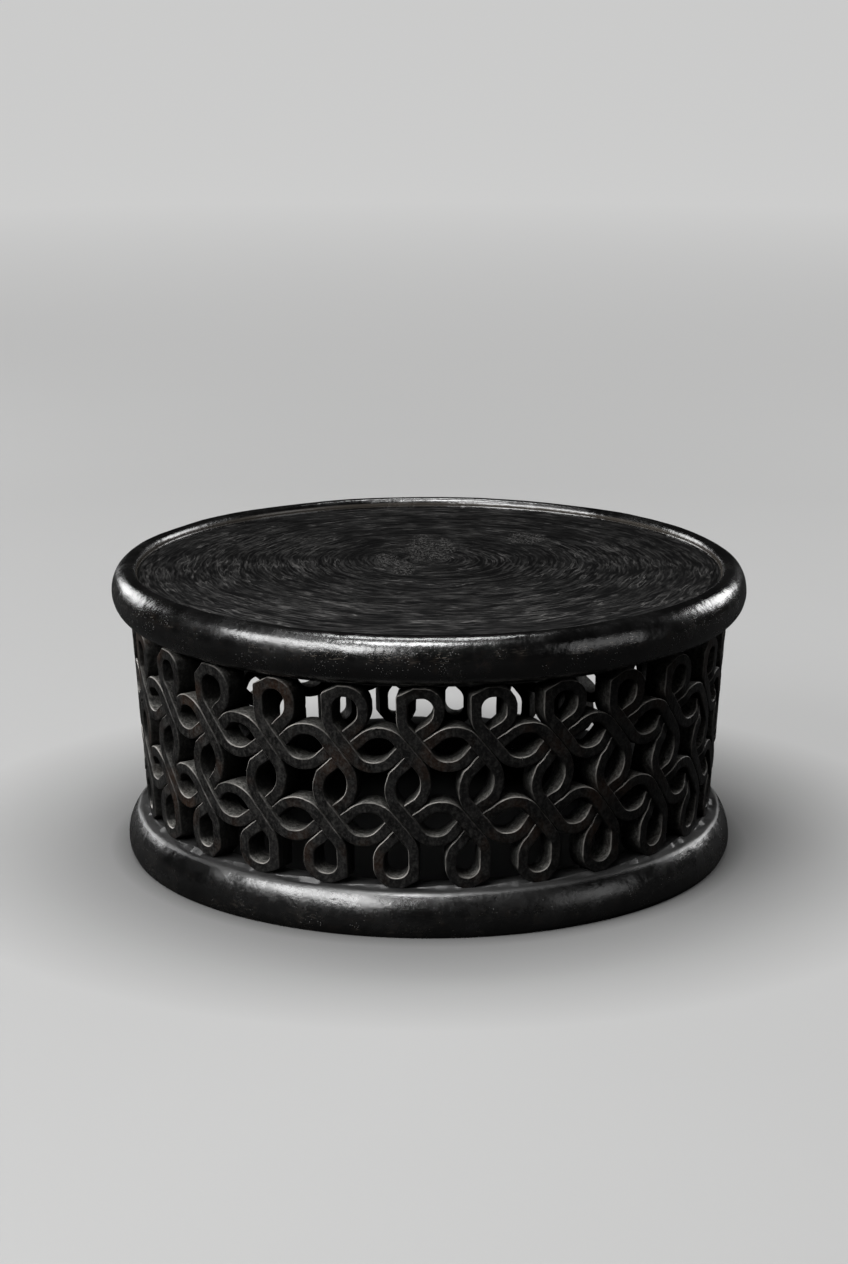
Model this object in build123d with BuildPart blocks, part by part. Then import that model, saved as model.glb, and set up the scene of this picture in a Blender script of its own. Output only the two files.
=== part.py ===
"""Carved drum table: a round top sunk in its rim, an openwork wall of interlaced bands and a rounded base ring.

Millimetres, +Z up. The origin is on the floor at the centre of the table and the front faces -Y.
The wall repeats one column of the interlace around the table. Each column crosses its bands at an
upper and a lower knot. At a knot two parallel bands fall to the right over two parallel bands that
rise to the right. Followed along, the bands are three kinds of closed strand: one looped band at the
top, one at the bottom, and a chain of linked rings between them. Where two strands cross, each is
halved in thickness and they meet face to face.
"""

from build123d import *
import os
from math import asin, ceil, cos, degrees, pi, radians, sin, tan

# Top and rim
table_height = 413.0
top_radius = 450.0
rim_height = 69.0  # underside of the rim to its crown
rim_width = 37.0  # outermost line of the rim to the edge of the field
rim_shoulder = 22.0  # radius from the crown over to the outermost line
rim_inner_radius = 11.0  # radius from the crown down to the field
dish_depth = 13.0  # crown of the rim down to the field
top_thickness = 42.0
groove_width = 3.0  # cut line between the rim and the field

# Base ring
base_radius = 433.0
base_height = 61.0
base_belly = 37.0  # height of its outermost line
foot_inset = 14.0  # outermost line to the edge of the flat foot
foot_chamfer = 4.0

# Wall
rim_overhang = 27.5  # rim past the top of the wall
base_overhang = 29.5  # base ring past the foot of the wall
wall_thickness = 34.0

# Interlace
columns = 26
first_column = -4.3  # angle of column 1 from the front, to the right
row_share = 0.366  # upper to lower knot, as a share of the height of the wall
lean_angle = 9.2  # the columns lean to the left going down
band_width = 16.0
band_seam = 1.0  # cut line between two parallel bands
lens_share = 0.2336  # knot up or down to the middle of the flat lens arcs, as a share of the rows
lens_bend = 27.0
side_bend = 37.0
loop_width = 48.0
loop_shift = 8.0  # middle of a loop to the side of its knot
corner_share = 0.294  # bend at the top of a loop, as a share of its rise over the knot
shoulder_share = 0.306  # bend at the foot of a loop
facet_turn = 26.0  # the bends are cut in flats, and no two neighbours turn by more than this
relief = 5.0  # an under band dips by this beside the bands that cross over it
dip_length = 22.0
fit_gap = 0.3  # sides of a halved crossing, and the top in its rim

# Where the wall stands
top_of_wall = table_height - rim_height
middle_height = (top_of_wall + base_height) / 2
wall_height = top_of_wall - base_height
wall_top_radius = top_radius - rim_overhang
wall_foot_radius = base_radius - base_overhang
flare = (wall_top_radius - wall_foot_radius) / wall_height
wall_radius = (wall_top_radius + wall_foot_radius) / 2  # outer face at middle height
spare = 6.0  # tools and blanks run past what they cut by this
row_pitch = wall_height * row_share
lens_rise = row_pitch * lens_share

# One column of the interlace, in a flat frame: origin at the middle of the column, x right, y up
column_angle = 360 / columns
half_pitch = wall_radius * sin(radians(column_angle / 2))
half_row = row_pitch / 2
half_lean = half_row * tan(radians(lean_angle))
knot = Vector(half_lean, half_row)  # the upper knot; the lower one is -knot
fall = Vector(half_pitch - half_lean, -half_row).normalized()
rise = Vector(half_pitch + half_lean, half_row).normalized()
fall_side = fall.rotate(Axis.Z, 90)  # to the upper right of a falling band
rise_side = rise.rotate(Axis.Z, 90)  # to the upper left of a rising band
lane = (band_width + band_seam) / 2  # seam between two parallel bands to the middle of each
pair_half = band_width + band_seam / 2 + fit_gap
level = Vector(1, 0)


def meet(point, direction, other, other_direction):
    """Where two lines of the flat frame cross."""
    span = other - point
    turn = direction.X * other_direction.Y - direction.Y * other_direction.X
    along = (span.X * other_direction.Y - span.Y * other_direction.X) / turn
    return point + direction * along


def bend(before, corner, after, radius):
    """Corner of a path rounded with short flats that touch an arc of the given radius."""
    arriving = (corner - before).normalized()
    leaving = (after - corner).normalized()
    side = 1 if arriving.X * leaving.Y > arriving.Y * leaving.X else -1
    turn = arriving.get_angle(leaving)
    flats = ceil(turn / facet_turn)
    centre = corner + (leaving - arriving).normalized() * radius / cos(radians(turn / 2))
    spoke = arriving.rotate(Axis.Z, -90 * side) * (radius / cos(radians(turn / flats / 2)))
    return [centre + spoke.rotate(Axis.Z, side * turn * (i + 0.5) / flats) for i in range(flats)]


def rounded(corners, radii):
    """Path through the corners, each but the first and last rounded with its own radius."""
    path = [corners[0]]
    for before, corner, after, radius in zip(corners, corners[1:], corners[2:], radii):
        path += bend(before, corner, after, radius)
    return path + [corners[-1]]


def ribbon(path):
    """Closed outline of a band that follows the path, mitred where the path turns."""
    ways = [(b - a).normalized() for a, b in zip(path, path[1:])]
    ways = [ways[0], *ways, ways[-1]]
    left = []
    right = []
    for point, way, next_way in zip(path, ways, ways[1:]):
        mitre = (way + next_way).normalized().rotate(Axis.Z, 90)
        reach = mitre * (band_width / 2 / mitre.dot(way.rotate(Axis.Z, 90)))
        left.append(point + reach)
        right.append(point - reach)
    return left + right[::-1]


def half_turned(path):
    """The same path turned half round the middle of its column."""
    return [Vector(-point.X, -point.Y) for point in path]


def skin_at(y):
    """Outer radius of the wall at a height in the flat frame."""
    return wall_radius + flare * y


def crossing_plane(place, way):
    """Plane across a band at a knot: its x is square to the band, its y points out of the wall."""
    side = way.rotate(Axis.Z, 90)
    origin = Vector(place.X, 0, middle_height + place.Y)
    return Plane(origin=origin, x_dir=(side.X, 0, side.Y), z_dir=(way.X, 0, way.Y))


# The flat frame stands upright through the axis and faces the front.
column_face = Plane(origin=(0, 0, middle_height), x_dir=(1, 0, 0), z_dir=(0, -1, 0))
blank_start = min(wall_top_radius, wall_foot_radius) - wall_thickness - 2 * spare
blank_depth = max(wall_top_radius, wall_foot_radius) + spare - blank_start


def strand(path, under=(), over=()):
    """Straight-sided blank of one strand, with the notches of the crossings that it makes.

    under and over list (knot, low, high): the notch runs from low to high, square to the bands that
    cross there. An under strand also dips on both sides of the crossing.
    """
    with BuildPart() as blank:
        with BuildSketch(column_face.offset(blank_start)):
            with BuildLine():
                Polyline(*ribbon(path), close=True)
            make_face()
        extrude(amount=blank_depth)
        for place, low, high in under:
            skin = skin_at(place.Y)
            with BuildSketch(crossing_plane(place, fall)):
                with BuildLine():
                    Polyline(
                        (-pair_half - dip_length, skin),
                        (-pair_half, skin - relief),
                        (pair_half, skin - relief),
                        (pair_half + dip_length, skin),
                        (pair_half + dip_length, skin + 2 * spare),
                        (-pair_half - dip_length, skin + 2 * spare),
                        close=True,
                    )
                make_face()
                with BuildLine():
                    Polyline(
                        (low, skin - wall_thickness / 2),
                        (high, skin - wall_thickness / 2),
                        (high, skin),
                        (low, skin),
                        close=True,
                    )
                make_face()
            extrude(amount=pair_half + spare, both=True, mode=Mode.SUBTRACT)
        for place, low, high in over:
            skin = skin_at(place.Y)
            with BuildSketch(crossing_plane(place, rise)):
                with BuildLine():
                    Polyline(
                        (low, skin - wall_thickness / 2),
                        (high, skin - wall_thickness / 2),
                        (high, skin - 2 * wall_thickness),
                        (low, skin - 2 * wall_thickness),
                        close=True,
                    )
                make_face()
            extrude(amount=pair_half + spare, both=True, mode=Mode.SUBTRACT)
    return blank.part


def wall_shell(start, sweep):
    """The wall without its openings, from one angle on, so that the blanks can be cut to its faces."""
    low, high = base_height - spare, top_of_wall + spare
    low_radius = wall_foot_radius - flare * spare
    high_radius = wall_top_radius + flare * spare
    with BuildPart() as shell:
        with BuildSketch(Plane.XZ):
            with BuildLine():
                Polyline(
                    (low_radius - wall_thickness, low),
                    (low_radius, low),
                    (high_radius, high),
                    (high_radius - wall_thickness, high),
                    close=True,
                )
            make_face()
        revolve(axis=Axis.Z, revolution_arc=sweep)
    return shell.part.rotate(Axis.Z, start - 90)


# Looped band: up to the right through the knot, over the loop, down to the right through the knot.
arc_low = half_row - lens_rise
loop_top = wall_height / 2 - band_width / 2
loop_rise = loop_top - half_row
loop_corner = loop_rise * corner_share
loop_shoulder = loop_rise * shoulder_share
loop_middle = knot.X + loop_shift
rising_line = knot + rise_side * lane
falling_line = knot + fall_side * lane
rise_foot = meet(rising_line, rise, Vector(0, arc_low), level)
fall_foot = meet(falling_line, fall, Vector(0, arc_low), level)
right_side = Vector(loop_middle + loop_width / 2, loop_top)
left_side = Vector(loop_middle - loop_width / 2, loop_top)
upright = Vector(0, 1)
rise_tangent = lens_bend * tan(radians(rise.get_angle(level) / 2))
fall_tangent = lens_bend * tan(radians(fall.get_angle(level) / 2))
arc_middle = half_pitch + (fall_foot.X + fall_tangent + rise_foot.X - rise_tangent) / 2

rising_path = rounded(
    [
        Vector(arc_middle - 2 * half_pitch - spare, arc_low),
        rise_foot,
        meet(rising_line, rise, right_side, upright),
        right_side,
        Vector(loop_middle, loop_top),
    ],
    [lens_bend, loop_shoulder, loop_corner],
)
falling_path = rounded(
    [
        Vector(loop_middle, loop_top),
        left_side,
        meet(falling_line, fall, left_side, upright),
        fall_foot,
        Vector(arc_middle + spare, arc_low),
    ],
    [loop_corner, loop_shoulder, lens_bend],
)
# The loop crosses itself beside the middle of its knot, and is one piece there.
own_side = band_seam / 2 + 2.0
arc_end = degrees(asin(arc_middle / skin_at(arc_low)))

with BuildPart() as upper_unit:
    add(strand(rising_path, under=[(knot, -pair_half, own_side)]))
    add(strand(falling_path, over=[(knot, -pair_half, own_side)]))
    add(wall_shell(arc_end - column_angle, column_angle), mode=Mode.INTERSECT)

with BuildPart() as lower_unit:
    add(strand(half_turned(rising_path), under=[(-knot, -own_side, pair_half)]))
    add(strand(half_turned(falling_path), over=[(-knot, -own_side, pair_half)]))
    add(wall_shell(-arc_end, column_angle), mode=Mode.INTERSECT)

# Linked ring: its left half is drawn in one column and its right half in the next one.
arc_high = half_row + lens_rise
under_line = knot - rise_side * lane
over_line = fall_side * lane - knot
ring_top = meet(under_line, rise, Vector(0, arc_high), level)
ring_side = meet(under_line, rise, over_line, fall)
ring_bottom = meet(over_line, fall, Vector(0, -arc_high), level)
ring_middle = (ring_top.X + rise_tangent - ring_bottom.X - fall_tangent) / 2
left_path = rounded(
    [
        Vector(half_pitch + ring_middle + spare, arc_high),
        ring_top,
        ring_side,
        ring_bottom,
        Vector(half_pitch - ring_middle + spare, -arc_high),
    ],
    [lens_bend, side_bend, lens_bend],
)
left_blank = strand(
    left_path,
    under=[(knot, -pair_half, pair_half)],
    over=[(-knot, -pair_half, pair_half)],
)
right_blank = strand(
    half_turned(left_path),
    under=[(-knot, -pair_half, pair_half)],
    over=[(knot, -pair_half, pair_half)],
)
halfway = radians(column_angle / 2)
outward = Vector(sin(halfway), -cos(halfway), 0)
along_lean = Vector(ring_middle * cos(halfway), ring_middle * sin(halfway), arc_high)
ring_plane = Plane(origin=(0, 0, middle_height), x_dir=outward, z_dir=outward.cross(along_lean))

with BuildPart() as left_half:
    add(left_blank)
    split(bisect_by=ring_plane, keep=Keep.TOP)
with BuildPart() as right_half:
    add(right_blank.rotate(Axis.Z, column_angle))
    split(bisect_by=ring_plane, keep=Keep.BOTTOM)
with BuildPart() as ring_unit:
    add(left_half.part)
    add(right_half.part)
    add(wall_shell(-column_angle, 3 * column_angle), mode=Mode.INTERSECT)

# The whole wall
with BuildPart() as upper_looped_band:
    with PolarLocations(0, columns, start_angle=first_column):
        add(upper_unit.part)
upper_looped_band.part.label = "upper_looped_band"

with BuildPart() as lower_looped_band:
    with PolarLocations(0, columns, start_angle=first_column):
        add(lower_unit.part)
lower_looped_band.part.label = "lower_looped_band"

pieces = [upper_looped_band.part, lower_looped_band.part]
for number in range(columns):
    with BuildPart() as linked_ring:
        add(ring_unit.part, rotation=(0, 0, first_column + number * column_angle))
    linked_ring.part.label = f"linked_ring_{number + 1:02d}"
    pieces.append(linked_ring.part)

# Rim: a ring with a rounded crown, and a ledge inside it for the top
field_radius = top_radius - rim_width
field_height = table_height - dish_depth
ledge_height = field_height - top_thickness
rim_foot = wall_top_radius - wall_thickness
with BuildPart() as top_rim:
    with BuildSketch(Plane.XZ):
        with BuildLine():
            groove = (field_radius, field_height - groove_width / 2)
            crown = (field_radius + rim_inner_radius, table_height)
            shoulder = (top_radius - rim_shoulder, table_height)
            widest = (top_radius, table_height - rim_shoulder)
            edge = (wall_top_radius, top_of_wall)
            Polyline(
                edge,
                (rim_foot, top_of_wall),
                (rim_foot, ledge_height),
                (field_radius, ledge_height),
                groove,
            )
            TangentArc(crown, groove, tangent=(-1, 0))
            Line(crown, shoulder)
            TangentArc(shoulder, widest, tangent=(1, 0))
            TangentArc(widest, edge, tangent=(0, -1))
        make_face()
    revolve(axis=Axis.Z)
top_rim.part.label = "top_rim"
pieces.append(top_rim.part)

# Top: a disc on the ledge inside the rim
disc_radius = field_radius - fit_gap
with BuildPart() as table_top:
    with BuildSketch(Plane.XZ):
        with BuildLine():
            Polyline(
                (0, field_height),
                (0, ledge_height),
                (disc_radius, ledge_height),
                (disc_radius, field_height - groove_width / 2),
                (disc_radius - groove_width / 2, field_height),
                close=True,
            )
        make_face()
    revolve(axis=Axis.Z)
table_top.part.label = "table_top"
pieces.append(table_top.part)

# Base ring
base_inner = wall_foot_radius - wall_thickness
base_shoulder = base_height - base_belly
foot_radius = base_radius - foot_inset
with BuildPart() as base_ring:
    with BuildSketch(Plane.XZ):
        with BuildLine():
            belly = (base_radius, base_belly)
            ledge = (base_radius - base_shoulder, base_height)
            Polyline(
                ledge,
                (base_inner, base_height),
                (base_inner, foot_chamfer),
                (base_inner + foot_chamfer, 0),
                (foot_radius, 0),
            )
            TangentArc(belly, ledge, tangent=(0, 1))
            TangentArc(belly, (foot_radius, 0), tangent=(0, -1))
        make_face()
    revolve(axis=Axis.Z)
base_ring.part.label = "base_ring"
pieces.append(base_ring.part)

os.makedirs("parts", exist_ok=True)
for piece in pieces:
    export_step(piece, f"parts/{piece.label}.step")
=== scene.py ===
"""Carved drum table: sunk top with gouge strokes, rubbed rim, openwork wall of interlaced bands, base ring.

Sizes are in millimetres until a mesh is placed; the finishes, the lamps and the camera are in metres.
The wall is drawn in a flat frame (x along the wall to the right, y up from its middle height) and each
point is then wrapped onto the wall, so that every cut through the wall points at the axis.
"""

import logging
import math
import random
from dataclasses import dataclass, replace
from enum import Enum

import bmesh
import bpy
from bpy.types import Material, Node, NodeSocket, Object
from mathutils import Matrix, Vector, noise


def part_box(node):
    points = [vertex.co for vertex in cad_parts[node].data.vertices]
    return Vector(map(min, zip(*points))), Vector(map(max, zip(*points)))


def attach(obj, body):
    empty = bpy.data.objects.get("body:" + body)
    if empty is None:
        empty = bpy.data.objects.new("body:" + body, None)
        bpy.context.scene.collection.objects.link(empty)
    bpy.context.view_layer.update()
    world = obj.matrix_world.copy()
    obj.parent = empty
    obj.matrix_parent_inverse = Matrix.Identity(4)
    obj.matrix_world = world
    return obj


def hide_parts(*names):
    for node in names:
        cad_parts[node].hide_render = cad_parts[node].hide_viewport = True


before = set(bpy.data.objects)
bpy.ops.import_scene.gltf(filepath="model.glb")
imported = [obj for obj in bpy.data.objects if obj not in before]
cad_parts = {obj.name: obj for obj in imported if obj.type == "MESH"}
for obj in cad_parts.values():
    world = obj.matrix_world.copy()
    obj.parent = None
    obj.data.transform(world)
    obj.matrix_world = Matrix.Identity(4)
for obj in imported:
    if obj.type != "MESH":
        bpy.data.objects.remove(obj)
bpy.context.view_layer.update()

MM = 0.001
FLARE = 19.0 / 283.0  # how much the wall's radius grows with its height
TOP_RADIUS = 412.0
SWIRL = (5.0, 55.0)  # how far right and back of the axis the gouge strokes have their middle
LEVEL, UPRIGHT = Vector((1.0, 0.0)), Vector((0.0, 1.0))
log = logging.getLogger("drum_table")


class Slot(Enum):
    """Material slots of the record."""

    RIM = "polished_rim"
    TOP = "gouged_top"
    WALL = "carved_wall"


class Cut(Enum):
    """How a bend's outer edge was cut: the share of the turn at which each flat faces straight out."""

    ROUND = (0.0, 0.2, 0.4, 0.6, 0.8, 1.0)
    EVEN = (0.0, 0.5, 1.0)
    KINKED = (0.0, 0.34, 0.5, 0.66, 0.83, 1.0)
    POINTED = (0.0, 0.3, 1.0)


class Crossing(Enum):
    """Whether a band passes over or under the pair of bands that it meets at a knot."""

    OVER = "over"
    UNDER = "under"


# ---- Finishes ----


Colour = tuple[float, float, float, float]
Triple = tuple[float, float, float]
Span = tuple[float, float]
Point = tuple[float, float]
EVEN: Triple = (1.0, 1.0, 1.0)
FLAT: Triple = (1.0, 1.0, 0.0)


@dataclass(frozen=True)
class Grain:
    """A noise texture: its scale per metre, detail, roughness and squeeze along each axis."""

    scale: float
    detail: float = 3.0
    rough: float = 0.55
    squeeze: Triple = EVEN


class NodeBench:
    """Short way to lay out the nodes of one material."""

    def __init__(self, name: str) -> None:
        """Starts a material with nothing in its tree but the output and one Principled shader.

        Args:
            name: name of the material.
        """
        self.material: Material = bpy.data.materials.new(name)
        self.material.use_nodes = True
        self.tree = self.material.node_tree
        self.tree.nodes.clear()
        self.shader = self.node("ShaderNodeBsdfPrincipled")
        self.node("ShaderNodeOutputMaterial", Surface=self.shader.outputs[0])
        self.even = self.place(EVEN)
        self.across, self.back, self.height = self.split(self.even)

    def node(self, kind: str, settings: dict[str, object] | None = None, **inputs: object) -> Node:
        """Adds a node.

        Args:
            kind: type name of the node.
            settings: attributes of the node to set.
            **inputs: values or sockets by input name, or in0, in1, ... by input number.

        Returns:
            The node.
        """
        made = self.tree.nodes.new(kind)
        for key, value in (settings or {}).items():
            setattr(made, key, value)
        for key, value in inputs.items():
            number = key[2:]
            self.feed(made.inputs[int(number) if number.isdigit() else key], value)
        return made

    def feed(self, socket: NodeSocket, value: object) -> None:
        """Links a socket, or sets its value.

        Args:
            socket: the input to feed.
            value: a socket to link, or a value.
        """
        if isinstance(value, NodeSocket):
            self.tree.links.new(value, socket)
        else:
            socket.default_value = value

    def math(self, operation: str, *values: object) -> NodeSocket:
        """Result of a Math node on one to three values or sockets."""
        inputs = {f"in{i}": value for i, value in enumerate(values)}
        return self.node("ShaderNodeMath", {"operation": operation}, **inputs).outputs[0]

    def times(self, first: NodeSocket, *others: object) -> NodeSocket:
        """Product of values or sockets.

        Args:
            first: the first value.
            others: what it is multiplied by.

        Returns:
            The socket of the last product.
        """
        for other in others:
            first = self.math("MULTIPLY", first, other)
        return first

    def plus(self, first: NodeSocket, *others: object) -> NodeSocket:
        """Sum of values or sockets.

        Args:
            first: the first value.
            others: what is added to it.

        Returns:
            The socket of the last sum.
        """
        for other in others:
            first = self.math("ADD", first, other)
        return first

    def vector_math(self, operation: str, *values: object) -> NodeSocket:
        """Result of a Vector Math node on one or two vectors or sockets, a number only for a length.

        Args:
            operation: what the node does.
            values: its inputs in order.

        Returns:
            The result's socket.
        """
        inputs = {f"in{i}": value for i, value in enumerate(values)}
        made = self.node("ShaderNodeVectorMath", {"operation": operation}, **inputs)
        return made.outputs["Value" if operation == "LENGTH" else "Vector"]

    def scaled(self, vector: object, factor: NodeSocket) -> NodeSocket:
        """A vector or colour times a number."""
        made = self.node("ShaderNodeVectorMath", {"operation": "SCALE"}, in0=vector, Scale=factor)
        return made.outputs["Vector"]

    def place(self, scale: Triple) -> NodeSocket:
        """Object coordinates in metres, scaled along each axis."""
        spot = self.node("ShaderNodeTexCoord").outputs["Object"]
        return self.vector_math("MULTIPLY", spot, scale)

    def split(self, vector: NodeSocket) -> tuple[NodeSocket, NodeSocket, NodeSocket]:
        """X, Y and Z of a vector."""
        made = self.node("ShaderNodeSeparateXYZ", Vector=vector)
        return made.outputs["X"], made.outputs["Y"], made.outputs["Z"]

    def noise(self, grain: Grain, spot: NodeSocket | None = None) -> NodeSocket:
        """Value of a noise at a spot, or at the squeezed Object coordinates.

        Args:
            grain: the noise.
            spot: where to read it; none for the Object coordinates.

        Returns:
            The value, about 0 to 1.
        """
        if spot is None:
            spot = self.even if grain.squeeze == EVEN else self.place(grain.squeeze)
        made = self.node("ShaderNodeTexNoise", Vector=spot, Scale=grain.scale, Detail=grain.detail,
                         Roughness=grain.rough)
        return made.outputs[0]

    def ramp(self, value: NodeSocket, span: Span, start: float = 0.0, end: float = 1.0) -> NodeSocket:
        """A value taken from a span to start..end, and held outside.

        Args:
            value: the value.
            span: where it starts and ends.
            start: result at the span's start.
            end: result at the span's end.

        Returns:
            The result's socket.
        """
        made = self.node("ShaderNodeMapRange", {"clamp": True}, in0=value, in1=span[0], in2=span[1],
                         in3=start, in4=end)
        return made.outputs[0]

    def line(self, value: NodeSocket, middle: float, width: float, strength: float) -> NodeSocket:
        """A thin line where a noise passes a value."""
        off = self.math("ABSOLUTE", self.math("SUBTRACT", value, middle))
        return self.ramp(off, (0.0, width), strength, 0.0)

    def mix(self, factor: object, first: object, second: object) -> NodeSocket:
        """Mix of two colours.

        Args:
            factor: share of the second.
            first: the first colour.
            second: the second colour.

        Returns:
            The mixed colour.
        """
        made = self.node("ShaderNodeMix", {"data_type": "RGBA"})
        colours = [socket for socket in made.inputs if socket.type == "RGBA"]
        for socket, value in zip((made.inputs[0], *colours), (factor, first, second)):
            self.feed(socket, value)
        return next(socket for socket in made.outputs if socket.type == "RGBA")

    def coats(self, ground: object, *coats: tuple[object, Colour]) -> NodeSocket:
        """A colour under coats, each with its cover and its colour.

        Args:
            ground: the colour under all of them.
            *coats: cover and colour of each coat, the lowest first.

        Returns:
            The colour on top.
        """
        for cover, colour in coats:
            ground = self.mix(cover, ground, colour)
        return ground

    def attribute(self, name: str) -> NodeSocket:
        """Value of a mesh attribute."""
        return self.node("ShaderNodeAttribute", {"attribute_name": name}).outputs["Fac"]

    def shade(self, colour: NodeSocket, roughness: object, specular: float, ior: float = 1.5) -> None:
        """Feeds the shader.

        Args:
            colour: base colour.
            roughness: roughness.
            specular: specular level.
            ior: index of refraction.
        """
        names = ("Base Color", "Roughness", "Specular IOR Level", "IOR")
        for name, value in zip(names, (colour, roughness, specular, ior)):
            self.feed(self.shader.inputs[name], value)

    def bumps(self, *heights: tuple[NodeSocket, float]) -> None:
        """Chains bumps into the shader's normal.

        Args:
            *heights: height socket and depth in metres of each bump.
        """
        under: dict[str, NodeSocket] = {}
        for height, depth in heights:
            made = self.node("ShaderNodeBump", Strength=1.0, Distance=depth, Height=height, **under)
            under = {"Normal": made.outputs[0]}
        self.feed(self.shader.inputs["Normal"], under["Normal"])


@dataclass(frozen=True)
class RubbedRimFinish:
    """Black-stained wood, waxed and rubbed to a satin shine, with pits and brown specks low on its sides, and
    a light line along the top bead that is a rubbed edge and a painted highlight.
    """

    black: Colour = (0.0008, 0.0008, 0.0008, 1.0)
    worn: Colour = (0.0024, 0.0023, 0.0022, 1.0)
    brown: Colour = (0.017, 0.0115, 0.0082, 1.0)
    speck: Colour = (0.15, 0.132, 0.112, 1.0)
    sheen_roughness: float = 0.135
    dull_roughness: float = 0.30
    cloud: Grain = Grain(14.0, 4.0)
    fine: Grain = Grain(90.0, 4.0, 0.6)
    scratch: Grain = Grain(160.0, 2.0, squeeze=(1.0, 1.0, 9.0))
    dash: Grain = Grain(110.0, 3.0, 0.7, (1.0, 1.0, 5.0))
    stain: Grain = Grain(55.0, 4.0, 0.65)
    scatter: Grain = Grain(19.0, 3.0, 0.6)
    pit_scale: float = 300.0
    pit_size: Span = (0.08, 0.20)
    rim_top: Span = (0.402, 0.392)
    rim_foot: Span = (0.350, 0.362)
    below_sheen: Span = (0.376, 0.387)
    base_side: Span = (0.045, 0.034)
    ledge: Span = (0.0550, 0.0595)
    above_base: Span = (0.070, 0.080)

    def material(self) -> Material:
        """Builds the material.

        Returns:
            The material.
        """
        bench = NodeBench("rubbed_rim")
        cloud, fine, scratch = (bench.noise(grain) for grain in (self.cloud, self.fine, self.scratch))
        height = bench.height
        rim_side = bench.times(bench.ramp(height, self.rim_top), bench.ramp(height, self.rim_foot))
        base_side = bench.times(bench.ramp(height, self.base_side), 0.6)
        sides = bench.plus(rim_side, base_side)
        sparse = bench.times(bench.ramp(bench.noise(self.scatter), (0.47, 0.60)), sides)
        pits = bench.node("ShaderNodeTexVoronoi", Vector=bench.even, Scale=self.pit_scale).outputs["Distance"]
        pit = bench.times(bench.ramp(pits, self.pit_size, 1.0, 0.0), sparse)
        low = bench.math("MAXIMUM", bench.times(bench.ramp(height, self.below_sheen), rim_side), base_side)
        dash = bench.times(bench.ramp(bench.noise(self.dash), (0.56, 0.64)), sparse, low, 0.7)
        colour = bench.coats(
            self.black,
            (bench.ramp(cloud, (0.4, 0.72)), self.worn),
            (bench.times(bench.ramp(bench.noise(self.stain), (0.55, 0.72), 0.0, 0.5), sides), self.brown),
            (bench.times(pit, 0.28), self.speck),
            (dash, self.speck),
            # Light line along the bead, from its wear: a rubbed edge and a painted highlight.
            (bench.times(bench.attribute("wear"), 0.6), self.speck),
        )
        rough = bench.ramp(bench.plus(cloud, bench.times(fine, 0.35)), (0.5, 0.86),
                           self.sheen_roughness, self.dull_roughness)
        on_ledge = bench.times(bench.ramp(height, self.ledge, 0.0, 0.3),
                               bench.ramp(height, self.above_base, 1.0, 0.0))
        on_base = bench.plus(bench.ramp(height, self.above_base, 0.035, 0.0), on_ledge)
        bench.shade(colour, bench.plus(rough, bench.times(pit, 0.25), on_base), 1.0, 1.6)
        deep = bench.math("SUBTRACT", 1.0, pit)
        bench.bumps((cloud, 0.0026), (fine, 0.0005), (scratch, 0.00010), (deep, 0.0007))
        return bench.material


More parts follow.
